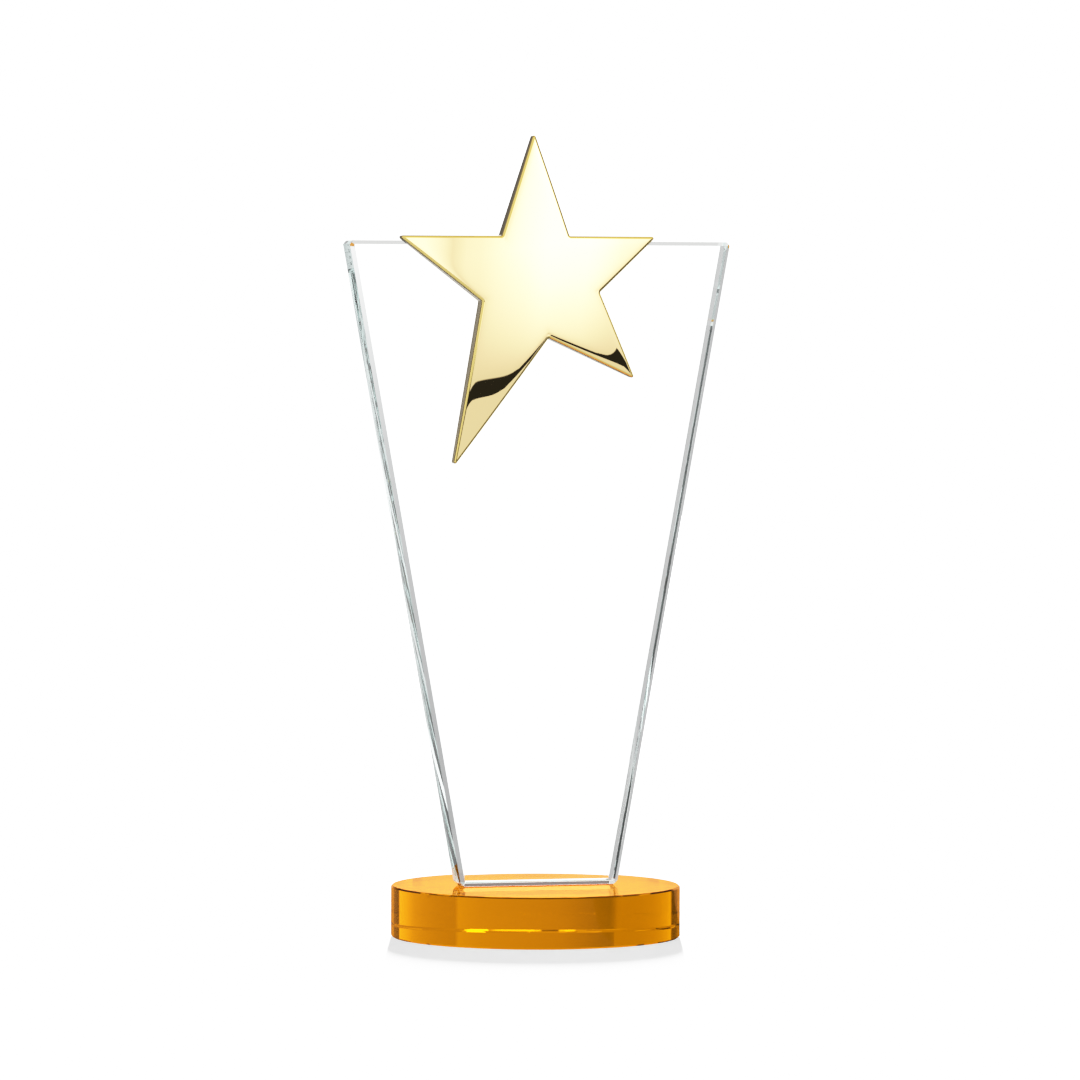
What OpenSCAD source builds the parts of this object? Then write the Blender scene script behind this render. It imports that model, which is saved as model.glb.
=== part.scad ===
// Star trophy: a tapered clear crystal plate standing on an amber crystal disc,
// with a domed gold star bonded to the upper front of the plate.
// Millimetres. The front faces -Y, up is +Z, and the origin is the centre of the disc's underside.

/* [Base disc] */
// Diameter of the amber disc
base_d = 90; // [70:1:120]
// Height of the amber disc
base_h = 16; // [10:1:30]
// Width of the polished bevel round both rims of the disc
base_bevel = 0.5; // [0.2:0.1:1]

/* [Crystal plate] */
// Height of the plate
plate_h = 200; // [180:1:240]
// Width of the plate across its top
plate_top_w = 122; // [110:1:160]
// Width of the plate across its foot
plate_foot_w = 50; // [30:1:62]
// Thickness of the plate
plate_t = 12; // [8:0.5:20]
// Width of the polished bevel on every edge of the plate
plate_bevel = 1.2; // [0.5:0.1:2]

/* [Star] */
// Scale of the star's outline
star_scale = 1; // [0.8:0.05:1.1]
// Height of the arms' level upper edges above the plate's top
star_rise = 1.6; // [0:0.1:4]
// Distance of the star's centre left of the plate's middle
star_left = 3.4; // [0:0.1:6]
// Thickness of the star at the middle of its face
star_t = 5.6; // [4.8:0.1:7]
// How far the domed face falls from the middle to the tips
dome_drop = 2.5; // [1:0.1:3]
// Width of the rounded shoulder between the star's face and its side wall
shoulder_w = 0.9; // [0.5:0.1:1.2]
// Drop of that shoulder from the face to the side wall
shoulder_drop = 1.2; // [0.6:0.1:1.4]
// Corner radius of the star's tips and notches
star_corner_r = 0.6; // [0.4:0.1:1]

/* [Bonds] */
// Thickness of the cured adhesive under the plate
foot_bond_t = 0.2; // [0.1:0.05:0.5]
// Thickness of the clear pad behind the star
star_pad_t = 0.5; // [0.3:0.1:1]
// Margin of the pad inside the star's outline
star_pad_margin = 2.5; // [1.5:0.1:3.5]

/* [Hidden] */

// Colours
amber = [0.93, 0.57, 0.05];
crystal = [0.86, 0.93, 0.93];
gold = [0.93, 0.76, 0.36];
adhesive = [0.96, 0.96, 0.92];

// Star outline about the star's centre: a tip and then the notch after it, clockwise from the top tip.
star_points = star_scale * [
    [0, 47.2], [11, 14.9],
    [39.4, 14.9], [20.8, -2.5],
    [32.7, -29.5], [4.3, -16.7],
    [-25.8, -57.2], [-17.1, -5.3],
    [-43.3, 14.9], [-10.7, 14.9]
];
// The face is a dome whose level lines are ellipses about dome_centre, one of them through all five tips.
dome_centre = star_scale * [-4.8, -6.3];
dome_half_long = star_scale * 55;
dome_half_short = star_scale * 43.9;
dome_lean = 22;        // turn of the long half clockwise from upright

arm_top_z = star_points[1][1];
point_count = len(star_points);

plate_foot_z = base_h + foot_bond_t;
plate_top_z = plate_foot_z + plate_h;
star_centre = [-star_left, plate_top_z + star_rise - arm_top_z];
star_back_y = -(plate_t / 2 + star_pad_t);

corner_steps = 3;      // points round a corner, less one
edge_step = 6;         // longest stretch of edge between two points of the outline
shoulder_steps = 4;    // rings down the rounded shoulder
face_rings = [0.75, 0.5, 0.25];
slack = 1;             // how far a cutting shape stands clear of what it cuts
sharp_r = 0.01;        // the radius left at a tip once an inset has used up its own

// Unit vector, and the same vector turned a quarter turn clockwise, which points into the star.
function unit(v) = v / norm(v);
function inward(v) = [v[1], -v[0]];
function edge_dir(i) = unit(star_points[(i + 1) % point_count] - star_points[i % point_count]);

// Corner i of the outline moved inward by inset, on the meeting point of its two moved edges.
function inset_corner(i, inset) =
    let (a = edge_dir(i + point_count - 1), b = edge_dir(i), n = inward(a) + inward(b))
    star_points[i] + n * inset / (1 + inward(a) * inward(b));

// Points round corner i. Even corners are tips, whose radius shrinks as the outline moves inward.
function corner_arc(i, inset) =
    let (
        a = edge_dir(i + point_count - 1),
        b = edge_dir(i),
        is_tip = i % 2 == 0,
        r = is_tip ? max(star_corner_r - inset, sharp_r) : star_corner_r + inset,
        half_turn = acos(a * b) / 2,
        corner = inset_corner(i, inset),
        to_centre = unit(b - a),
        centre = corner + to_centre * r / cos(half_turn),
        start = atan2(-to_centre[1], -to_centre[0]),
        side = is_tip ? -1 : 1
    )
    [for (k = [0:corner_steps]) let (t = start - side * half_turn + side * 2 * half_turn * k / corner_steps)
        centre + r * [cos(t), sin(t)]];

// Points strictly between two corners, the same number at every inset.
function edge_points(p, q, i) =
    let (n = ceil(norm(star_points[(i + 1) % point_count] - star_points[i]) / edge_step))
    [for (k = [1:n - 1]) p + (q - p) * k / n];

function outline(inset) = [
    for (i = [0:point_count - 1])
        let (here = corner_arc(i, inset), next = corner_arc((i + 1) % point_count, inset))
        for (p = concat(here, edge_points(here[corner_steps], next[0], i))) p
];

// Height of the face above the star's back at a point of the outline's plane.
function face_height(p) =
    let (
        d = p - dome_centre,
        along = d * [sin(dome_lean), cos(dome_lean)] / dome_half_long,
        across = d * [cos(dome_lean), -sin(dome_lean)] / dome_half_short
    )
    star_t - dome_drop * (along * along + across * across);

function lifted(points, drop) = [for (p = points) [p[0], p[1], face_height(p) - drop]];

// The shoulder follows a quarter ellipse from the side wall to the face.
function shoulder_ring(k) =
    let (t = 90 * k / shoulder_steps)
    lifted(outline(shoulder_w * (1 - cos(t))), shoulder_drop * (1 - sin(t)));

function face_ring(s) = lifted([for (p = outline(shoulder_w)) s * p], 0);

module star_solid() {
    back = [for (p = outline(0)) [p[0], p[1], 0]];
    rings = concat(
        [back],
        [for (k = [0:shoulder_steps]) shoulder_ring(k)],
        [for (s = face_rings) face_ring(s)]
    );
    n = len(back);
    top = (len(rings) - 1) * n;
    back_middle = top + n;
    face_middle = back_middle + 1;
    points = [for (ring = rings) for (p = ring) p, [0, 0, 0], [0, 0, face_height([0, 0])]];
    faces = [for (k = [0:n - 1]) let (next = (k + 1) % n) each concat(
        [[next, k, back_middle], [top + k, top + next, face_middle]],
        [for (a = [0:n:top - n]) each [[a + k, a + next, a + n + next], [a + k, a + n + next, a + n + k]]]
    )];
    polyhedron(points, faces, convexity = 6);
}

// Stands a shape drawn in X and Y upright: its Y goes up and its Z towards the viewer.
module facing_front() {
    rotate([90, 0, 0]) children();
}

// A rectangle across w and h, centred, with its corners cut off at 45 degrees.
module bevelled_rectangle(w, h, cut) {
    x = w / 2;
    y = h / 2;
    polygon([
        [-x + cut, -y], [x - cut, -y], [x, -y + cut], [x, y - cut],
        [x - cut, y], [-x + cut, y], [-x, y - cut], [-x, -y + cut]
    ]);
}

module base_disc() {
    r = base_d / 2;
    color(amber)
        rotate_extrude($fn = 180)
            polygon([
                [0, 0], [r - base_bevel, 0], [r, base_bevel],
                [r, base_h - base_bevel], [r - base_bevel, base_h], [0, base_h]
            ]);
}

module foot_bond() {
    w = plate_foot_w - 2 * plate_bevel;
    d = plate_t - 2 * plate_bevel;
    color(adhesive)
        translate([-w / 2, -d / 2, base_h])
            cube([w, d, foot_bond_t]);
}

// The bevelled outline of the plate seen from the front.
module plate_front() {
    foot = plate_foot_w / 2;
    top = plate_top_w / 2;
    lean = (top - foot) / plate_h * plate_bevel;
    polygon([
        [-foot + plate_bevel, 0], [foot - plate_bevel, 0], [foot + lean, plate_bevel],
        [top - lean, plate_h - plate_bevel], [top - plate_bevel, plate_h],
        [-top + plate_bevel, plate_h], [-top + lean, plate_h - plate_bevel], [-foot - lean, plate_bevel]
    ]);
}

// A long bar whose bevelled edge runs along the plate's right side (side 1) or left side (side -1).
module side_bar(side) {
    tilt = atan((plate_top_w - plate_foot_w) / 2 / plate_h);
    bar_w = 2 * plate_top_w;
    bar_h = 3 * plate_h;
    translate([side * plate_foot_w / 2, 0, 0])
        rotate([0, side * tilt, 0])
            translate([-side * bar_w / 2, 0, -plate_h])
                linear_extrude(bar_h)
                    bevelled_rectangle(bar_w, plate_t, plate_bevel);
}

module crystal_plate() {
    color(crystal)
        translate([0, 0, plate_foot_z])
            intersection() {
                facing_front()
                    linear_extrude(plate_t + 2 * slack, center = true)
                        plate_front();
                translate([-plate_top_w, 0, plate_h / 2])
                    rotate([90, 0, 90])
                        linear_extrude(2 * plate_top_w)
                            bevelled_rectangle(plate_t, plate_h, plate_bevel);
                side_bar(1);
                side_bar(-1);
            }
}

// The pad fills the star's inset outline as far up as the flat of the plate reaches.
module star_pad() {
    pad_top = plate_top_z - plate_bevel - slack;
    color(adhesive)
        translate([0, -plate_t / 2, 0])
            facing_front()
                linear_extrude(star_pad_t)
                    intersection() {
                        translate(star_centre)
                            polygon(outline(star_pad_margin));
                        translate([-plate_top_w / 2, 0])
                            square([plate_top_w, pad_top]);
                    }
}

module gold_star() {
    color(gold)
        translate([star_centre[0], star_back_y, star_centre[1]])
            facing_front()
                star_solid();
}

base_disc();
foot_bond();
crystal_plate();
star_pad();
gold_star();
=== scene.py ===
import math

import bmesh
import bpy
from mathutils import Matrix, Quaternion, Vector, noise
from mathutils.geometry import delaunay_2d_cdt


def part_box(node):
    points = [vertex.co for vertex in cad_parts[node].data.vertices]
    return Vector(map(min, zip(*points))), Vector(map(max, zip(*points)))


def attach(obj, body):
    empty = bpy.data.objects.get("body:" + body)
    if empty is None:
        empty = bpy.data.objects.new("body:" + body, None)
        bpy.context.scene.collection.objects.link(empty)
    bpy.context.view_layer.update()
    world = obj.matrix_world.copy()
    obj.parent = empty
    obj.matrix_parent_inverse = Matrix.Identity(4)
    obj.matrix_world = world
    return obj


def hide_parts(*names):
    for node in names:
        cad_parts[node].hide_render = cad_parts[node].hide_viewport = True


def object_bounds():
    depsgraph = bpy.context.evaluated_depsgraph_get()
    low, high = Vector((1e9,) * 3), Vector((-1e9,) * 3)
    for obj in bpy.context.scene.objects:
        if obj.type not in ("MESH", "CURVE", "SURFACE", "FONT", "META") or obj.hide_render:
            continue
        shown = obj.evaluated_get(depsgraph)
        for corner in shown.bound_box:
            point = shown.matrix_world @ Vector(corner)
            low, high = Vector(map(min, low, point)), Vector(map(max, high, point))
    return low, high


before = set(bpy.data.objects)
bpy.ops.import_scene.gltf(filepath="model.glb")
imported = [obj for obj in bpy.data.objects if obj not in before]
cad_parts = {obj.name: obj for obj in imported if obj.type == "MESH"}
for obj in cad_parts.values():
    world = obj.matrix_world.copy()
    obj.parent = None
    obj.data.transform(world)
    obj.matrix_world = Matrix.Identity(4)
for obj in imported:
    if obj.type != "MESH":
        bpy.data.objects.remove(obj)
CAD_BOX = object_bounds()

MM = 0.001

# ---------------------------------------------------------------- camera
CAMERA_LENS = 217.0
CAMERA_SENSOR = 36.0
CAMERA_DISTANCE = 2.023
CAMERA_HEIGHT = 0.1946
CAMERA_TURN = math.radians(14.469)
CAMERA_PITCH = math.radians(2.015)
CAMERA_ROLL = math.radians(0.164)
CAMERA_SIDE = 0.0011
CAMERA_REACH = 20.0
VIEW_FORWARD = Vector((math.sin(CAMERA_TURN), math.cos(CAMERA_TURN), 0))

# ---------------------------------------------------------------- star
# The outline of the star in millimetres about its centre: a tip and then the notch after it, clockwise from
# the top tip. The face is a dome whose level lines are ellipses.
STAR_CORNERS = (
    (0, 47.2), (11, 14.9),
    (39.4, 14.9), (20.8, -2.5),
    (32.7, -29.5), (4.3, -16.7),
    (-25.8, -57.2), (-17.1, -5.3),
    (-43.3, 14.9), (-10.7, 14.9),
)
DOME_CENTRE = Vector((-4.8, -6.3))
DOME_HALF_LONG = 55.0
DOME_HALF_SHORT = 43.9
DOME_LEAN = math.radians(22)
DOME_DROP = 2.5
STAR_THICKNESS = 5.6
SHOULDER_WIDTH = 0.9
SHOULDER_DROP = 1.2
STAR_CORNER_RADIUS = 0.6
EDGE_ROLL_DROP = 0.03
EDGE_ROLL_REACH = 0.8
EDGE_SPACING = 1.0
CORNER_STEPS = 8
SHOULDER_STEPS = 14
FACE_RING_STEP = 0.25
FACE_RINGS = 5
GRID_STEP = 1.1
# The face's fine grid keeps this many ring steps clear of the rings along its rim.
GRID_CLEARANCE = 1.6
STAR_SHARP_EDGE = 60
# The last radius of a tip, in millimetres, once the outline has moved in past its own.
LEAST_RADIUS = 0.01
# Points closer than this, in millimetres, are one when the star's faces are filled.
FILL_TOLERANCE = 1e-7
# The polished face and back, the deeper gold of the rounded rim, the side wall, whose satin polish is real
# and whose darker tone is painted shade, and the darkest tone, painted shade on the undersides of the arms.
# Each has a low and a high tone.
GOLD_MIRROR = ((0.99, 0.77, 0.38, 1.0), (1.0, 0.79, 0.4, 1.0))
GOLD_RIM = ((0.98, 0.75, 0.23, 1.0), (0.99, 0.77, 0.27, 1.0))
GOLD_SATIN_PAINTED_SHADE = ((0.31, 0.22, 0.085, 1.0), (0.36, 0.27, 0.11, 1.0))
GOLD_UNDERSIDE_PAINTED_SHADE = ((0.17, 0.12, 0.035, 1.0), (0.22, 0.16, 0.06, 1.0))
# The low and high roughness of the plating and the size of its clouds in metres.
MIRROR_POLISH = ((0.004, 0.012), 0.033)
SATIN_POLISH = ((0.06, 0.14), 0.004)
# A face of the star counts as rim or wall when its normal's part towards the front or back is below these,
# and a wall counts as an underside when its normal's upward part is below the last. Walls and undersides get
# darker gold tones as painted shade.
RIM_NORMAL = 0.985
SHADED_WALL_NORMAL = 0.55
SHADED_UNDERSIDE_NORMAL = -0.35

# ---------------------------------------------------------------- glass
GLASS_IOR = 1.52
ADHESIVE_IOR = 1.48
AMBER_IOR = 1.5
AMBER_CROSSING = (1.0, 0.575, 0.03, 1.0)
AMBER_MIRROR = (0.95, 0.36, 0.1, 1.0)
CRYSTAL_TINT = (0.80, 0.95, 0.93, 1.0)
CRYSTAL_DENSITY = 6.0
ADHESIVE_TINT = (0.98, 0.99, 0.98, 1.0)
WHITE = (1.0, 1.0, 1.0, 1.0)
LIGHT_BOUNCES = 24
DISC_SEGMENTS = 360
DISC_CAP_RINGS = 4
DISC_BEVEL = 0.5 * MM
# How far the lower rim strays from a true circle, and how quickly it does so on the way round.
DISC_WAVER = 0.12 * MM
DISC_WAVER_RATE = 9
PLATE_MICRO_BEVEL = 0.07 * MM
CONTACT = 0.02 * MM
# Vertices closer than this, in metres, are one, and faces within this many degrees are one flat face.
WELD = 1e-6
FLAT_ANGLE = 1
DISC_SHARP_EDGE = 20
BOND_SHARP_EDGE = 30
Y_AXIS = 1
Z_AXIS = 2

# ---------------------------------------------------------------- studio
FLOOR_GAP = 0.0003
FLOOR_HALF = 4.0
FLOOR_WHITE = 0.95
# Distances from the trophy in metres: the table's front edge, the edge of the floor that glass sees through,
# and where the light on the floor rises from its near level to its far one.
TABLE_FRONT = 1.57
WINDOW = (1.4, 1.6)
LIFT_REACH = (0.5, 1.1)
LIFT_NEAR = 0.32
LIFT_FAR = 1.5
# The room's soft light, what is shown as plain white, and the light grey that glass sees low down and aside.
ROOM_LEVEL = 0.6
WHITE_LEVEL = 2.0
BELOW_LEVEL = 0.97
BACK_LIGHT_POWER = 3000.0
BACK_LIGHT_SIZE = (0.11, 2.3)
BACK_LIGHT_PLACE = (8.0, 2.25)
# How scene light is shown: straight up to a little over half, then a soft roll-off to white.
FILM_WHITE = 2.0
FILM_CURVE = (
    (0, 0), (0.3, 0.3), (0.6, 0.6), (0.89, 0.79), (1.04, 0.87), (1.28, 0.94), (1.5, 0.98), (1.8, 1.0),
    (2.0, 1.0),
)


def node_tree(owner):
    """An empty node tree on a material or a world, and a function that adds a node to it."""
    owner.use_nodes = True
    tree = owner.node_tree
    tree.nodes.clear()

    def add(kind, **inputs):
        node = tree.nodes.new(kind)
        for name, value in inputs.items():
            set_input(tree, node, name.replace("_", " "), value)
        return node

    return tree, add


def set_input(tree, node, name, value):
    """Sets an input socket, or links it if the value is another node's output."""
    socket = node.inputs[int(name)] if name.isdigit() else node.inputs[name]
    if isinstance(value, bpy.types.NodeSocket):
        tree.links.new(value, socket)
    else:
        socket.default_value = value


def maths(tree, operation, *values):
    """A math node's output."""
    node = tree.nodes.new("ShaderNodeMath")
    node.operation = operation
    for index, value in enumerate(values):
        set_input(tree, node, str(index), value)
    return node.outputs[0]


def smooth_step(tree, value, low, high):
    """0 below low, 1 above high, and a soft rise between them. It falls if low is above high."""
    node = tree.nodes.new("ShaderNodeMapRange")
    node.interpolation_type = "SMOOTHSTEP"
    rising = high > low
    set_input(tree, node, "Value", value)
    set_input(tree, node, "From Min", min(low, high))
    set_input(tree, node, "From Max", max(low, high))
    set_input(tree, node, "To Min", 0.0 if rising else 1.0)
    set_input(tree, node, "To Max", 1.0 if rising else 0.0)
    return node.outputs["Result"]


def mix(tree, factor, a, b):
    """a where factor is 0 and b where it is 1, for plain numbers."""
    node = tree.nodes.new("ShaderNodeMix")
    node.data_type = "FLOAT"
    set_input(tree, node, "0", factor)
    set_input(tree, node, "2", a)
    set_input(tree, node, "3", b)
    return node.outputs[0]


def ramp(tree, value, stops):
    """A level that goes straight from stop to stop: stops are (value, level) in rising order."""
    node = tree.nodes.new("ShaderNodeValToRGB")
    node.color_ramp.interpolation = "LINEAR"
    elements = node.color_ramp.elements
    while len(elements) < len(stops):
        elements.new(0.5)
    low, high = stops[0][0], stops[-1][0]
    top = max(level for _, level in stops)
    for element, (place, level) in zip(elements, stops):
        element.position = (place - low) / (high - low)
        share = level / top
        element.color = (share, share, share, 1)
    shifted = maths(tree, "SUBTRACT", value, float(low))
    set_input(tree, node, "Fac", maths(tree, "DIVIDE", shifted, float(high - low)))
    return maths(tree, "MULTIPLY", node.outputs["Color"], top)


def between(tree, value, rise, fall):
    """1 between a rise and a fall. Each is a soft step: the value where it is 0, then where it is 1."""
    return maths(tree, "MULTIPLY", smooth_step(tree, value, *rise), smooth_step(tree, value, *fall))


def patch(tree, heading, elevation, level, where, shown, soft=0.4):
    """The level, replaced by another inside a box of directions: (left, right, bottom, top) in degrees."""
    left, right, bottom, top = where
    across = between(tree, heading, (left - soft, left + soft), (right + soft, right - soft))
    up = between(tree, elevation, (bottom - soft, bottom + soft), (top + soft, top - soft))
    return mix(tree, maths(tree, "MULTIPLY", across, up), level, shown)


# Light by compass heading, in degrees from the back (+Y) towards the right (+X).
# What amber and clear glass show of the studio near the horizon: a grey backdrop between two dark flags.
GLASS_PANORAMA = (
    (-180, 0.95), (-120, 1.0), (-66, 0.9), (-60, 0.03), (-48, 0.03), (-46, 1.35), (-41, 1.05),
    (-34, 0.78), (-28, 0.66), (-20, 0.58), (-8.8, 0.56), (-8.2, 0.33), (-4, 0.36), (2, 0.46),
    (8, 0.56), (17, 0.62), (24, 0.66), (30, 0.7), (37.2, 0.82), (37.8, 0.56), (46, 0.62), (53, 0.72),
    (60, 0.88), (67, 1.3), (76, 1.7),
    (77, 0.03), (88, 0.03), (91, 0.9), (130, 1.0), (180, 0.95),
)
# What the bevelled left side of the plate shows, by elevation: the backdrop brightens upwards. It covers a
# box of directions whose left, right, bottom and top edges each fade over a short range.
SIDE_BACKDROP = ((-1, 0.4), (0.4, 0.45), (1.7, 0.52), (3, 0.65), (4.1, 1.0), (5, 1.3))
SIDE_LEFT_EDGE = (31.0, 33.0)
SIDE_RIGHT_EDGE = (52.0, 50.0)
SIDE_BOTTOM_EDGE = (-5.16, -5.1)
SIDE_TOP_EDGE = (5.3, 5.2)
# The camera looks along about this heading. Up to the flags either side of it glass sees white above one
# elevation, and all round it sees light grey below another.
VIEW_HEADING = 14.5
FLAG_REACH = 56.0
WHITE_ABOVE = (9.0, 12.0)
GREY_BELOW = (-7.5, -9.0)
# Boxes of directions (left, right, bottom, top) that clear glass sees as something darker or lighter: the
# backdrop in the plate's right side with a dark strip on it, the open view straight through, boards, and the
# rim light.
SHARP_BLUR = 0.05
RIGHT_BACKDROP = ((-19, -8.5, -5.1, 7.0), 0.57)
RIGHT_STRIP = ((-13.7, -8.5, 1.5, 5.25), 0.22)
CLEAR_VIEW = (2.5, 26.5, -5.13, 5.3)
CLEAR_VIEW_BLUR = 0.03
BOARDS = (
    ((-116, -64, 16, 35), 0.05),
    ((-108, -85, -35, -9), 0.12),
    ((-85, -66, -20, -7), 0.5),
    ((2, 27, -28.3, -18), 0.8),
    ((-30, 62, -42, -28.6), 0.08),
    ((-181, -100, -68, -36), 0.08),
    ((100, 181, -64, -36), 0.08),
    ((118, 132, -27, -14), 0.08),
    ((-181, -145, -11, 1.5), 0.6),
    ((95, 116, 38, 58), 0.6),
    ((-96, -64, 35.5, 60), 0.55),
    ((-96, -75, 60, 75), 0.8),
    ((-181, 181, 78, 91), 0.7),
    ((100, 120, 60, 70), 4.0),
    ((2, 30, 17, 25.2), 0.22),
    ((-58, -9, 27.4, 37), 0.8),
    ((41, 75, 27.4, 37), 0.8),
)
RIM_LIGHT = (-8, 40, 27.4, 37)
RIM_LIGHT_LEVEL = 3.0

# What a mirror shows of the back and sides of the studio.
BACK_PANORAMA = (
    (-180, 1.0), (-62, 1.1), (-50, 0.9), (-40, 0.55), (-20, 0.45), (-14, 0.25), (-5, 0.25),
    (1, 1.9), (36, 1.9), (41, 0.15), (60, 0.15), (66, 0.3), (180, 0.3),
)
# What a mirror shows of the front, from heading 90 through 180 (-Y) to 270: a soft key light.
FRONT_PANORAMA = (
    (90, 0.3), (128, 0.3), (141, 1.1), (152, 1.8), (156, 2.25), (158, 2.9), (159.5, 3.4), (163.5, 3.4),
    (165.5, 2.7), (168, 2.1), (170, 1.65), (172, 1.5), (172.7, 1.1), (174, 1.6), (176, 2.2), (180, 2.0),
    (190, 1.3), (205, 0.9), (235, 0.75), (270, 1.0),
)
# The lower edge of the key light by heading, in degrees above its base elevation.
KEY_SILL = (
    (90, 1.35), (154.6, 1.35), (156.5, 0.1), (158.6, 0.05), (174.5, 0.05), (179, 4.4), (225, 4.4),
    (240, 0), (270, 0),
)
KEY_SILL_BASE = -4.85
KEY_SILL_BLUR = 0.06
KEY_LEAST = 0.02
# Low down the key light is held to this level: the hold comes in from the range's top to its bottom.
KEY_LOW_LEVEL = 0.95
KEY_FADE = (-4.6, 4.0)
# What a mirror shows overhead, in red, green and blue, and where it fades in by elevation.
OVERHEAD = (0.85, 0.79, 0.6)
OVERHEAD_FADE = (16.0, 40.0)


def studio_world():
    """The studio round the trophy. The eye sees plain white and matt surfaces an even room, glass sees one
    panorama and the gold another, with dark flags that draw their edges."""
    world = bpy.data.worlds.new("studio")
    bpy.context.scene.world = world
    tree, add = node_tree(world)
    direction = add("ShaderNodeTexCoord").outputs["Generated"]
    split = add("ShaderNodeSeparateXYZ", Vector=direction).outputs
    heading = maths(tree, "DEGREES", maths(tree, "ARCTAN2", split["X"], split["Y"]))
    elevation = maths(tree, "DEGREES", maths(tree, "ARCSINE", split["Z"]))

    glass = ramp(tree, heading, GLASS_PANORAMA)
    side = ramp(tree, elevation, SIDE_BACKDROP)
    across_side = between(tree, heading, SIDE_LEFT_EDGE, SIDE_RIGHT_EDGE)
    up_side = between(tree, elevation, SIDE_BOTTOM_EDGE, SIDE_TOP_EDGE)
    glass = mix(tree, maths(tree, "MULTIPLY", across_side, up_side), glass, side)
    glass = patch(tree, heading, elevation, glass, *RIGHT_BACKDROP, SHARP_BLUR)
    glass = patch(tree, heading, elevation, glass, *RIGHT_STRIP, SHARP_BLUR)
    aside = maths(tree, "ABSOLUTE", maths(tree, "SUBTRACT", heading, VIEW_HEADING))
    high_up = smooth_step(tree, elevation, *WHITE_ABOVE)
    between_flags = maths(tree, "LESS_THAN", aside, FLAG_REACH)
    glass = mix(tree, maths(tree, "MULTIPLY", high_up, between_flags), glass, WHITE_LEVEL)
    glass = mix(tree, smooth_step(tree, elevation, *GREY_BELOW), glass, BELOW_LEVEL)
    glass = patch(tree, heading, elevation, glass, CLEAR_VIEW, WHITE_LEVEL, CLEAR_VIEW_BLUR)
    for where, shown in BOARDS:
        glass = patch(tree, heading, elevation, glass, where, shown)
    glass = patch(tree, heading, elevation, glass, RIM_LIGHT, RIM_LIGHT_LEVEL)

    back = ramp(tree, heading, BACK_PANORAMA)
    turned = maths(tree, "FLOORED_MODULO", heading, 360.0)
    front = ramp(tree, turned, FRONT_PANORAMA)
    over_bottom = maths(tree, "ADD", elevation, -KEY_FADE[0])
    rise = maths(tree, "DIVIDE", over_bottom, KEY_FADE[1] - KEY_FADE[0])
    rise = maths(tree, "MINIMUM", maths(tree, "MAXIMUM", rise, 0.0), 1.0)
    low_front = maths(tree, "MINIMUM", front, KEY_LOW_LEVEL)
    front = mix(tree, rise, low_front, front)
    over_sill = maths(tree, "SUBTRACT", elevation, ramp(tree, turned, KEY_SILL))
    sill = smooth_step(tree, over_sill, KEY_SILL_BASE - KEY_SILL_BLUR, KEY_SILL_BASE + KEY_SILL_BLUR)
    front = maths(tree, "MAXIMUM", maths(tree, "MULTIPLY", front, sill), KEY_LEAST)
    in_front = maths(tree, "GREATER_THAN", maths(tree, "ABSOLUTE", heading), 90.0)
    mirror = mix(tree, in_front, back, front)
    overhead = smooth_step(tree, elevation, *OVERHEAD_FADE)
    tinted = add("ShaderNodeCombineColor")
    for channel, level in zip(("Red", "Green", "Blue"), OVERHEAD):
        set_input(tree, tinted, channel, mix(tree, overhead, mirror, level))

    path = add("ShaderNodeLightPath").outputs
    level = mix(tree, path["Is Transmission Ray"], ROOM_LEVEL, glass)
    level = mix(tree, path["Is Camera Ray"], level, WHITE_LEVEL)
    plain = add("ShaderNodeBackground", Color=WHITE, Strength=level)
    mirrored = add("ShaderNodeBackground", Color=tinted.outputs[0], Strength=1.0)
    not_through = maths(tree, "SUBTRACT", 1.0, path["Is Transmission Ray"])
    only_glossy = maths(tree, "MULTIPLY", path["Is Glossy Ray"], not_through)
    choose = add("ShaderNodeMixShader")
    set_input(tree, choose, "0", only_glossy)
    tree.links.new(plain.outputs[0], choose.inputs[1])
    tree.links.new(mirrored.outputs[0], choose.inputs[2])
    add("ShaderNodeOutputWorld", Surface=choose.outputs[0])


def back_light():
    """A tall narrow softbox behind: it throws the base's short soft shadow towards the camera."""
    data = bpy.data.lights.new("back_light", "AREA")
    data.shape = "RECTANGLE"
    data.size, data.size_y = BACK_LIGHT_SIZE
    data.energy = BACK_LIGHT_POWER
    light = bpy.data.objects.new("back_light", data)
    distance, height = BACK_LIGHT_PLACE
    light.location = VIEW_FORWARD * distance + Vector((0, 0, height))
    light.rotation_mode = "QUATERNION"
    light.rotation_quaternion = (-light.location).to_track_quat("-Z", "Y")
    light.visible_camera = False
    light.visible_glossy = False
    light.visible_transmission = False
    bpy.context.scene.collection.objects.link(light)


# What glass sees of the far floor: white straight behind the trophy, light grey aside, and grey in two
# stretches that the plate's bevelled sides show.
FAR_FADE = (54.0, 58.0)
RIGHT_STRETCH = ((28.0, 31.0), (56.0, 53.0))
LEFT_STRETCH = ((-22.0, -20.0), (-5.0, -7.0))
STRETCH_LEVEL = 0.46
# The gold sees something dark past the right end of the table, which takes up this range of headings.
TABLE_END = ((60.0, 64.0), (153.0, 151.5))
PAST_TABLE_LEVEL = 0.12
# What the gold sees of the floor, by distance: the trophy shades the floor round its foot.
FLOOR_MIRRORED = ((0, 0.4), (0.08, 0.6), (0.3, 0.75), (0.5, 0.85), (0.8, 0.93), (2.0, 0.95))


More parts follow.
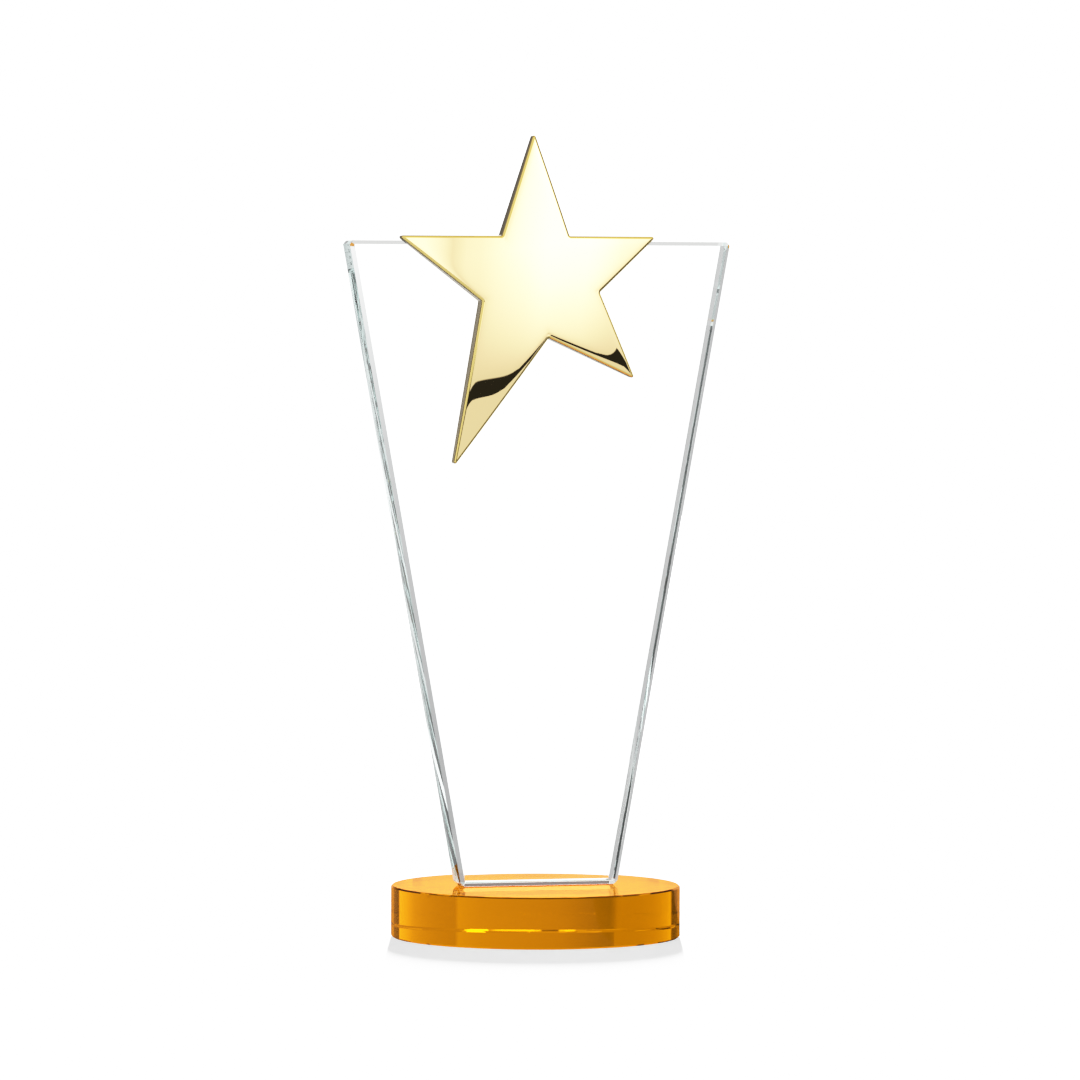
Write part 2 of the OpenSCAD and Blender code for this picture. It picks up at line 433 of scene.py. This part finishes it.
def floor_material():
    """Matt white paper. The eye sees it washed out by light. Glass near it looks straight through it, so
    that the amber shows the studio and not its own shadow. The gold sees a table top that ends in front,
    with the studio's mirror panorama beyond the edge."""
    material = bpy.data.materials.new("floor_paper")
    tree, add = node_tree(material)
    path = add("ShaderNodeLightPath").outputs
    through = path["Is Transmission Ray"]
    glossy = maths(tree, "MULTIPLY", path["Is Glossy Ray"], maths(tree, "SUBTRACT", 1.0, through))
    eye = path["Is Camera Ray"]
    place = add("ShaderNodeTexCoord").outputs["Object"]
    split = add("ShaderNodeSeparateXYZ", Vector=place).outputs
    reach = add("ShaderNodeVectorMath")
    reach.operation = "LENGTH"
    set_input(tree, reach, "0", place)
    distance = reach.outputs["Value"]
    heading = maths(tree, "DEGREES", maths(tree, "ARCTAN2", split["X"], split["Y"]))

    lift = mix(tree, smooth_step(tree, distance, *LIFT_REACH), LIFT_NEAR, LIFT_FAR)
    table = ramp(tree, distance, FLOOR_MIRRORED)
    table = mix(tree, between(tree, heading, *TABLE_END), table, PAST_TABLE_LEVEL)
    glow = maths(tree, "MULTIPLY", eye, lift)
    glow = maths(tree, "ADD", glow, maths(tree, "MULTIPLY", glossy, table))
    right = between(tree, heading, *RIGHT_STRETCH)
    left = between(tree, heading, *LEFT_STRETCH)
    aside = maths(tree, "ABSOLUTE", maths(tree, "SUBTRACT", heading, VIEW_HEADING))
    far_level = mix(tree, smooth_step(tree, aside, *FAR_FADE), WHITE_LEVEL, BELOW_LEVEL)
    far_level = mix(tree, maths(tree, "MAXIMUM", left, right), far_level, STRETCH_LEVEL)
    glow = maths(tree, "ADD", glow, maths(tree, "MULTIPLY", through, far_level))
    shown_flat = maths(tree, "MAXIMUM", glossy, through)
    diffuse = add("ShaderNodeBsdfDiffuse", Color=mix(tree, shown_flat, FLOOR_WHITE, 0.0))
    emission = add("ShaderNodeEmission", Color=WHITE, Strength=glow)
    paper = add("ShaderNodeAddShader")
    tree.links.new(diffuse.outputs[0], paper.inputs[0])
    tree.links.new(emission.outputs[0], paper.inputs[1])

    in_window = maths(tree, "MULTIPLY", through, smooth_step(tree, distance, WINDOW[1], WINDOW[0]))
    past_table = maths(tree, "MULTIPLY", glossy, maths(tree, "LESS_THAN", split["Y"], -TABLE_FRONT))
    window = add("ShaderNodeBsdfTransparent", Color=WHITE)
    choose = add("ShaderNodeMixShader")
    set_input(tree, choose, "0", maths(tree, "MAXIMUM", in_window, past_table))
    tree.links.new(paper.outputs[0], choose.inputs[1])
    tree.links.new(window.outputs[0], choose.inputs[2])
    add("ShaderNodeOutputMaterial", Surface=choose.outputs[0])
    return material


def film_response():
    """A soft shoulder, as a photograph has: highlights roll off to white and lose colour as they do."""
    view = bpy.context.scene.view_settings
    view.view_transform = "Standard"
    view.use_curve_mapping = True
    mapping = view.curve_mapping
    mapping.white_level = (FILM_WHITE, FILM_WHITE, FILM_WHITE)
    mapping.use_clip = True
    mapping.extend = "HORIZONTAL"
    curve = mapping.curves[3]
    for scene_level, shown in FILM_CURVE[1:-1]:
        curve.points.new(scene_level / FILM_WHITE, shown)
    mapping.update()


def studio_floor():
    """A large sheet under the trophy."""
    half = FLOOR_HALF
    corners = [(-half, -half), (half, -half), (half, half), (-half, half)]
    mesh = bpy.data.meshes.new("studio_floor")
    mesh.from_pydata([(x, y, 0) for x, y in corners], [], [(0, 1, 2, 3)])
    floor = bpy.data.objects.new("studio_floor", mesh)
    floor.location.z = CAD_BOX[0].z - FLOOR_GAP
    mesh.materials.append(floor_material())
    bpy.context.scene.collection.objects.link(floor)


def photo_camera():
    """The camera stands a little left of the trophy's front, near the height of the star's middle, and looks
    slightly down."""
    data = bpy.data.cameras.new("camera")
    data.lens = CAMERA_LENS
    data.sensor_width = CAMERA_SENSOR
    data.clip_end = CAMERA_REACH
    camera = bpy.data.objects.new("camera", data)
    right = Vector((VIEW_FORWARD.y, -VIEW_FORWARD.x, 0))
    look = VIEW_FORWARD * math.cos(CAMERA_PITCH) + Vector((0, 0, -math.sin(CAMERA_PITCH)))
    camera.location = right * CAMERA_SIDE - VIEW_FORWARD * CAMERA_DISTANCE + Vector((0, 0, CAMERA_HEIGHT))
    camera.rotation_mode = "QUATERNION"
    camera.rotation_quaternion = look.to_track_quat("-Z", "Y") @ Quaternion((0, 0, 1), CAMERA_ROLL)
    bpy.context.scene.collection.objects.link(camera)
    bpy.context.scene.camera = camera


def add_piece(name, mesh, materials, node):
    """Makes a piece of the trophy that stands for a CAD node."""
    piece = bpy.data.objects.new(name, mesh)
    bpy.context.scene.collection.objects.link(piece)
    for material in materials:
        mesh.materials.append(material)
    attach(piece, "root")
    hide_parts(node)
    return piece


def shade(mesh, sharp_degrees):
    """Smooth shading, broken at edges sharper than the angle."""
    mesh.polygons.foreach_set("use_smooth", [True] * len(mesh.polygons))
    mesh.set_sharp_from_angle(angle=math.radians(sharp_degrees))


# ---------------------------------------------------------------- materials
def ripple(add, scale, detail, strength, depth):
    """The faint unevenness of a polished or cast face, as a normal. Depth is in metres."""
    place = add("ShaderNodeTexCoord").outputs["Object"]
    waves = add("ShaderNodeTexNoise", Vector=place, Scale=scale, Detail=detail)
    return add("ShaderNodeBump", Strength=strength, Distance=depth, Height=waves.outputs["Fac"]).outputs[0]


def amber_glass():
    """Amber crystal: every crossing of a polished face takes out blue and some green."""
    material = bpy.data.materials.new("amber_glass")
    tree, add = node_tree(material)
    normal = ripple(add, scale=140.0, detail=2.0, strength=0.02, depth=0.0002)
    inside = add("ShaderNodeNewGeometry").outputs["Backfacing"]
    mirror_colour = add("ShaderNodeMix")
    mirror_colour.data_type = "RGBA"
    set_input(tree, mirror_colour, "0", inside)
    set_input(tree, mirror_colour, "6", AMBER_MIRROR)
    set_input(tree, mirror_colour, "7", WHITE)
    fresnel = add("ShaderNodeFresnel", IOR=AMBER_IOR, Normal=normal)
    through = add("ShaderNodeBsdfRefraction", Color=AMBER_CROSSING, Roughness=0.0, IOR=AMBER_IOR)
    set_input(tree, through, "Normal", normal)
    mirror = add("ShaderNodeBsdfAnisotropic", Color=mirror_colour.outputs[2], Roughness=0.0, Normal=normal)
    surface = add("ShaderNodeMixShader")
    set_input(tree, surface, "0", fresnel.outputs[0])
    tree.links.new(through.outputs[0], surface.inputs[1])
    tree.links.new(mirror.outputs[0], surface.inputs[2])
    add("ShaderNodeOutputMaterial", Surface=surface.outputs[0])
    return material


def clear_crystal():
    """Clear optical crystal, very faintly teal through its width."""
    material = bpy.data.materials.new("clear_crystal")
    _, add = node_tree(material)
    normal = ripple(add, scale=60.0, detail=1.0, strength=0.01, depth=0.0002)
    glass = add("ShaderNodeBsdfGlass", Color=WHITE, Roughness=0.0, IOR=GLASS_IOR, Normal=normal)
    tint = add("ShaderNodeVolumeAbsorption", Color=CRYSTAL_TINT, Density=CRYSTAL_DENSITY)
    add("ShaderNodeOutputMaterial", Surface=glass.outputs[0], Volume=tint.outputs[0])
    return material


def clear_adhesive():
    """Cured clear adhesive."""
    material = bpy.data.materials.new("clear_adhesive")
    _, add = node_tree(material)
    normal = ripple(add, scale=500.0, detail=2.0, strength=0.05, depth=0.0001)
    glass = add("ShaderNodeBsdfGlass", Color=ADHESIVE_TINT, Roughness=0.0, IOR=ADHESIVE_IOR, Normal=normal)
    add("ShaderNodeOutputMaterial", Surface=glass.outputs[0])
    return material


def gold_plating(name, tones, roughness, cloud_size):
    """Gold plating, a little uneven in tone and polish. Tones and roughness each have a low and a high."""
    material = bpy.data.materials.new(name)
    tree, add = node_tree(material)
    place = add("ShaderNodeTexCoord").outputs["Object"]
    cloud = add("ShaderNodeTexNoise", Vector=place, Scale=1 / cloud_size, Detail=3.0)
    tone = add("ShaderNodeMix")
    tone.data_type = "RGBA"
    set_input(tree, tone, "0", cloud.outputs["Fac"])
    set_input(tree, tone, "6", tones[0])
    set_input(tree, tone, "7", tones[1])
    gloss = add("ShaderNodeMapRange", Value=cloud.outputs["Fac"])
    set_input(tree, gloss, "To Min", roughness[0])
    set_input(tree, gloss, "To Max", roughness[1])
    metal = add("ShaderNodeBsdfPrincipled", Metallic=1.0, Roughness=gloss.outputs["Result"])
    set_input(tree, metal, "Base Color", tone.outputs[2])
    add("ShaderNodeOutputMaterial", Surface=metal.outputs[0])
    return material


# ---------------------------------------------------------------- star
def inward(v):
    """A direction along the outline, turned a quarter turn clockwise to point into the star."""
    return Vector((v.y, -v.x))


CORNERS = [Vector(c) for c in STAR_CORNERS]


def edge_dir(i):
    """The direction of the outline's edge after corner i."""
    count = len(CORNERS)
    return (CORNERS[(i + 1) % count] - CORNERS[i % count]).normalized()


def corner_arc(i, inset):
    """Points round corner i of the outline moved inward by inset. Even corners are tips."""
    a, b = edge_dir(i - 1), edge_dir(i)
    tip = i % 2 == 0
    radius = max(STAR_CORNER_RADIUS - inset, LEAST_RADIUS) if tip else STAR_CORNER_RADIUS + inset
    half_turn = math.acos(a.dot(b)) / 2
    corner = CORNERS[i] + (inward(a) + inward(b)) * inset / (1 + inward(a).dot(inward(b)))
    to_centre = (b - a).normalized()
    centre = corner + to_centre * radius / math.cos(half_turn)
    start = math.atan2(-to_centre.y, -to_centre.x)
    side = -1 if tip else 1
    points = []
    for k in range(CORNER_STEPS + 1):
        t = start + side * half_turn * (2 * k / CORNER_STEPS - 1)
        points.append(centre + Vector((math.cos(t), math.sin(t))) * radius)
    return points


def outline(inset):
    """The rounded outline moved inward by inset, with the same number of points at every inset."""
    points = []
    for i in range(len(CORNERS)):
        here = corner_arc(i, inset)
        there = corner_arc((i + 1) % len(CORNERS), inset)
        points += here
        length = (CORNERS[(i + 1) % len(CORNERS)] - CORNERS[i]).length
        steps = math.ceil(length / EDGE_SPACING)
        points += [here[-1].lerp(there[0], k / steps) for k in range(1, steps)]
    return points


def segment_distance(p, a, b):
    """How far p is from the nearest point between a and b."""
    along = b - a
    t = min(max((p - a).dot(along) / along.length_squared, 0), 1)
    return (p - a - along * t).length


INNER_CORNERS = [
    CORNERS[i] + (inward(edge_dir(i - 1)) + inward(edge_dir(i))) * SHOULDER_WIDTH
    / (1 + inward(edge_dir(i - 1)).dot(inward(edge_dir(i))))
    for i in range(len(CORNERS))
]


def edge_roll(p):
    """1 at the rim of the face and near 0 a few millimetres in: polishing rounds the rim a little."""
    flat = 1.0
    for i in range(1, len(CORNERS), 2):
        notch = INNER_CORNERS[i]
        before, after = INNER_CORNERS[i - 1], INNER_CORNERS[(i + 1) % len(CORNERS)]
        d = min(segment_distance(p, before, notch), segment_distance(p, notch, after))
        flat *= 1 - math.exp(-d / EDGE_ROLL_REACH)
    return 1 - flat


def face_height(p):
    """Height of the domed face above the star's back."""
    d = p - DOME_CENTRE
    long_way = Vector((math.sin(DOME_LEAN), math.cos(DOME_LEAN)))
    short_way = Vector((math.cos(DOME_LEAN), -math.sin(DOME_LEAN)))
    q = (d.dot(long_way) / DOME_HALF_LONG) ** 2 + (d.dot(short_way) / DOME_HALF_SHORT) ** 2
    return STAR_THICKNESS - DOME_DROP * q - EDGE_ROLL_DROP * edge_roll(p)


def inside_by(p, margin):
    """Whether p is inside the star and at least margin from its outline."""
    inside = False
    for i, a in enumerate(CORNERS):
        b = CORNERS[(i + 1) % len(CORNERS)]
        if segment_distance(p, a, b) < margin:
            return False
        if (a.y > p.y) != (b.y > p.y) and p.x < a.x + (b.x - a.x) * (p.y - a.y) / (b.y - a.y):
            inside = not inside
    return inside


def grid_points(margin):
    """A triangular grid over the star's face."""
    points = []
    row_step = GRID_STEP * math.sqrt(3) / 2
    low_x, high_x = min(c.x for c in CORNERS), max(c.x for c in CORNERS)
    low_y, high_y = min(c.y for c in CORNERS), max(c.y for c in CORNERS)
    for row in range(int((high_y - low_y) / row_step) + 1):
        y = low_y + row * row_step
        x = low_x + (row % 2) * GRID_STEP / 2
        while x < high_x:
            if inside_by(Vector((x, y)), margin):
                points.append(Vector((x, y)))
            x += GRID_STEP
    return points


def fill(loop, extra):
    """Triangles over the inside of a closed loop of points, through the extra points."""
    count = len(loop)
    edges = [(k, (k + 1) % count) for k in range(count)]
    _, _, faces, sources, _, _ = delaunay_2d_cdt(list(loop) + list(extra), edges, [], 1, FILL_TOLERANCE)
    order = [source[0] for source in sources]
    return [[order[v] for v in face] for face in faces]


def star_mesh():
    """Flat back, upright wall, rounded shoulder and domed face, in millimetres with the face along +Z."""
    ring = outline(0)
    count = len(ring)
    verts = [(p.x, p.y, 0.0) for p in ring]
    faces = [list(reversed(face)) for face in fill(ring, [])]
    rings = 1
    for k in range(SHOULDER_STEPS + 1):
        t = math.pi / 2 * k / SHOULDER_STEPS
        drop = SHOULDER_DROP * (1 - math.sin(t))
        for p in outline(SHOULDER_WIDTH * (1 - math.cos(t))):
            verts.append((p.x, p.y, face_height(p) - drop))
        rings += 1
    for r in range(rings - 1):
        for k in range(count):
            n = (k + 1) % count
            faces.append([r * count + n, r * count + k, (r + 1) * count + k, (r + 1) * count + n])
    rim_start = (rings - 1) * count
    rim = outline(SHOULDER_WIDTH)
    extra = []
    for r in range(1, FACE_RINGS + 1):
        extra += outline(SHOULDER_WIDTH + r * FACE_RING_STEP)
    extra += grid_points(SHOULDER_WIDTH + (FACE_RINGS + GRID_CLEARANCE) * FACE_RING_STEP)
    verts += [(p.x, p.y, face_height(p)) for p in extra]
    faces += [[rim_start + v for v in face] for face in fill(rim, extra)]
    return verts, faces


def gold_finish(normal):
    """Which of the star's four gold materials a face with this normal gets: mirror, rim, wall or underside.
    The wall and underside tones are darker gold painted as shade.
    """
    flatness = abs(normal.y)
    if flatness >= RIM_NORMAL:
        return 0
    if flatness >= SHADED_WALL_NORMAL:
        return 1
    return 3 if normal.z < SHADED_UNDERSIDE_NORMAL else 2


def gold_star():
    """The star, scaled and placed to fill its CAD node's box, with its back on the box's back."""
    verts, faces = star_mesh()
    low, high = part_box("gold_star")
    xs = [v[0] for v in verts]
    ys = [v[1] for v in verts]
    scale = (high.x - low.x) / (max(xs) - min(xs))
    centre_x = (low.x + high.x) / 2 - scale * (min(xs) + max(xs)) / 2
    centre_z = (low.z + high.z) / 2 - scale * (min(ys) + max(ys)) / 2
    placed = [(centre_x + scale * x, high.y - scale * h, centre_z + scale * y) for x, y, h in verts]
    mesh = bpy.data.meshes.new("gold_star_cast")
    mesh.from_pydata(placed, [], faces)
    bm = bmesh.new()
    bm.from_mesh(mesh)
    bmesh.ops.recalc_face_normals(bm, faces=bm.faces[:])
    bm.to_mesh(mesh)
    bm.free()
    mesh.validate()
    shade(mesh, STAR_SHARP_EDGE)
    # Side walls and arm undersides get darker gold by their normal: painted shade.
    for face in mesh.polygons:
        face.material_index = gold_finish(face.normal)
    finishes_and_shades = [
        gold_plating("gold_mirror", GOLD_MIRROR, *MIRROR_POLISH),
        gold_plating("gold_rim", GOLD_RIM, *MIRROR_POLISH),
        gold_plating("gold_satin_painted_shade", GOLD_SATIN_PAINTED_SHADE, *SATIN_POLISH),
        gold_plating("gold_underside_painted_shade", GOLD_UNDERSIDE_PAINTED_SHADE, *SATIN_POLISH),
    ]
    return add_piece("gold_star_cast", mesh, finishes_and_shades, "gold_star")


# ---------------------------------------------------------------- glass pieces
def weld(bm):
    """Joins the triangles of a CAD mesh back into its flat faces."""
    bmesh.ops.remove_doubles(bm, verts=bm.verts[:], dist=WELD)
    bmesh.ops.dissolve_limit(bm, angle_limit=math.radians(FLAT_ANGLE), verts=bm.verts[:], edges=bm.edges[:])


def finished_mesh(bm, name):
    """The mesh, with its faces turned outward."""
    bmesh.ops.recalc_face_normals(bm, faces=bm.faces[:])
    mesh = bpy.data.meshes.new(name)
    bm.to_mesh(mesh)
    bm.free()
    return mesh


def amber_disc():
    """The disc turned from its profile: underside, wall between two narrow polished bevels, top."""
    low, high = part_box("base_disc")
    radius = (high.x - low.x) / 2
    bm = bmesh.new()

    def ring(r, z, waver=0.0):
        points = []
        for k in range(DISC_SEGMENTS):
            a = 2 * math.pi * k / DISC_SEGMENTS
            spot = Vector((math.cos(a), math.sin(a), 0)) * DISC_WAVER_RATE
            wave = noise.noise(spot) * waver
            points.append(bm.verts.new(((r + wave) * math.cos(a), (r + wave) * math.sin(a), z)))
        return points

    def cap(z, rim):
        flat = radius - DISC_BEVEL
        rings = [ring(flat * k / DISC_CAP_RINGS, z) for k in range(1, DISC_CAP_RINGS)] + [rim]
        middle = bm.verts.new((0, 0, z))
        for k in range(DISC_SEGMENTS):
            n = (k + 1) % DISC_SEGMENTS
            bm.faces.new((middle, rings[0][k], rings[0][n]))
            for a, b in zip(rings, rings[1:]):
                bm.faces.new((a[k], b[k], b[n], a[n]))

    rims = [
        ring(radius - DISC_BEVEL, low.z, DISC_WAVER), ring(radius, low.z + DISC_BEVEL),
        ring(radius, high.z - DISC_BEVEL), ring(radius - DISC_BEVEL, high.z),
    ]
    for a, b in zip(rims, rims[1:]):
        for k in range(DISC_SEGMENTS):
            n = (k + 1) % DISC_SEGMENTS
            bm.faces.new((a[k], a[n], b[n], b[k]))
    cap(low.z, rims[0])
    cap(high.z, rims[-1])
    mesh = finished_mesh(bm, "amber_disc")
    shade(mesh, DISC_SHARP_EDGE)
    return add_piece("amber_disc", mesh, [amber_glass()], "base_disc")


def plate_glass():
    """The CAD plate with the finest of rounding where its polished faces meet."""
    bm = bmesh.new()
    bm.from_mesh(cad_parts["crystal_plate"].data)
    weld(bm)
    bmesh.ops.bevel(bm, geom=bm.edges[:], offset=PLATE_MICRO_BEVEL, segments=2, profile=0.5, affect="EDGES")
    mesh = finished_mesh(bm, "plate_glass")
    return add_piece("plate_glass", mesh, [clear_crystal()], "crystal_plate")


def bond_film(name, node, along, material, air_film=False):
    """A CAD bond, pressed a hair into what it joins along one axis. With an air film it stands a hair clear
    of the plate instead, so that the plate's front face still mirrors the light that runs inside it."""
    bm = bmesh.new()
    bm.from_mesh(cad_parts[node].data)
    weld(bm)
    low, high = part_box(node)
    middle = (low + high) / 2
    thick = high[along] - low[along]
    for vert in bm.verts:
        if air_film:
            vert.co[along] -= CONTACT
        else:
            vert.co[along] = middle[along] + (vert.co[along] - middle[along]) * (1 + 2 * CONTACT / thick)
    mesh = finished_mesh(bm, name)
    shade(mesh, BOND_SHARP_EDGE)
    return add_piece(name, mesh, [material], node)


film_response()
bpy.context.scene.cycles.max_bounces = LIGHT_BOUNCES
bpy.context.scene.cycles.glossy_bounces = LIGHT_BOUNCES
bpy.context.scene.cycles.transmission_bounces = LIGHT_BOUNCES

photo_camera()
studio_world()
back_light()
studio_floor()
amber_disc().visible_diffuse = False
adhesive = clear_adhesive()
upper_pieces = [
    plate_glass(),
    bond_film("foot_adhesive", "foot_bond", Z_AXIS, adhesive),
    bond_film("star_adhesive", "star_pad", Y_AXIS, adhesive, air_film=True),
    gold_star(),
]
for piece in upper_pieces:
    piece.visible_shadow = False
